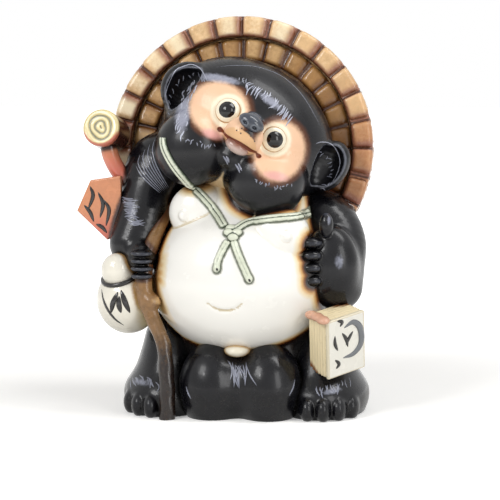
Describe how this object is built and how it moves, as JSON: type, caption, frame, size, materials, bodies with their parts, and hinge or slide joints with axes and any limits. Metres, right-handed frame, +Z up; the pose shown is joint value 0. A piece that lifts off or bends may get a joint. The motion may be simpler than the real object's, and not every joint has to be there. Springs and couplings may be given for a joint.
{
  "type": "tanuki statue",
  "caption": "Glazed stoneware tanuki ornament with tilted head, straw hat on its back, round belly, flask, ledger, staff and mallet; stands on a flat base.",
  "frame": {"origin": "on the floor, under the axis of the body", "axes": "+Z up, the figure faces -Y, the figure's own right hand is at -X"},
  "size_m": [0.1911, 0.1528, 0.2569],
  "materials": {
    "black_glaze": "glossy black glaze over modelled fur",
    "white_glaze": "glossy white glaze, brown where it runs thin at the edges",
    "cream_glaze": "glossy cream glaze with brown wash",
    "face_glaze": "peach slip under clear glaze",
    "eye_glaze": "white ring with a glossy black pupil",
    "lip_glaze": "pinkish grey glaze",
    "straw_glaze": "tan straw glaze, dark brown in the gaps",
    "wood_glaze": "streaked brown glaze",
    "red_glaze": "reddish orange glaze with dark brown edges",
    "cord_glaze": "pale grey-green glaze"
  },
  "bodies": {
    "root": {"back_shell": "black_glaze", "belly_shell": "white_glaze", "chin_tuft": "black_glaze", "cord_knot": "cord_glaze", "flask": "white_glaze", "flask_cord": "black_glaze", "front_nub": "cream_glaze", "hat_brim": "straw_glaze", "hat_crown": "straw_glaze", "hat_inner_band": "straw_glaze", "head_shell": "black_glaze", "ledger_cover": "white_glaze", "ledger_pages": "cream_glaze", "ledger_tie": "red_glaze", "left_arm": "black_glaze", "left_chin_cord": "cord_glaze", "left_cord_tail": "cord_glaze", "left_ear": "black_glaze", "left_eye": "eye_glaze", "left_fingers": "black_glaze", "left_hand": "black_glaze", "left_jowl": "black_glaze", "left_leg": "black_glaze", "left_nipple": "white_glaze", "left_toes": "black_glaze", "lower_lip": "lip_glaze", "mallet_handle": "red_glaze", "mallet_head": "wood_glaze", "money_pouch": "black_glaze", "muzzle": "face_glaze", "nose": "black_glaze", "right_arm": "black_glaze", "right_chin_cord": "cord_glaze", "right_cord_tail": "cord_glaze", "right_ear": "black_glaze", "right_eye": "eye_glaze", "right_fingers": "black_glaze", "right_hand": "black_glaze", "right_jowl": "black_glaze", "right_leg": "black_glaze", "right_nipple": "white_glaze", "right_toes": "black_glaze", "sign_board": "red_glaze", "staff": "wood_glaze", "tail": "black_glaze"}
  },
  "joints": []
}
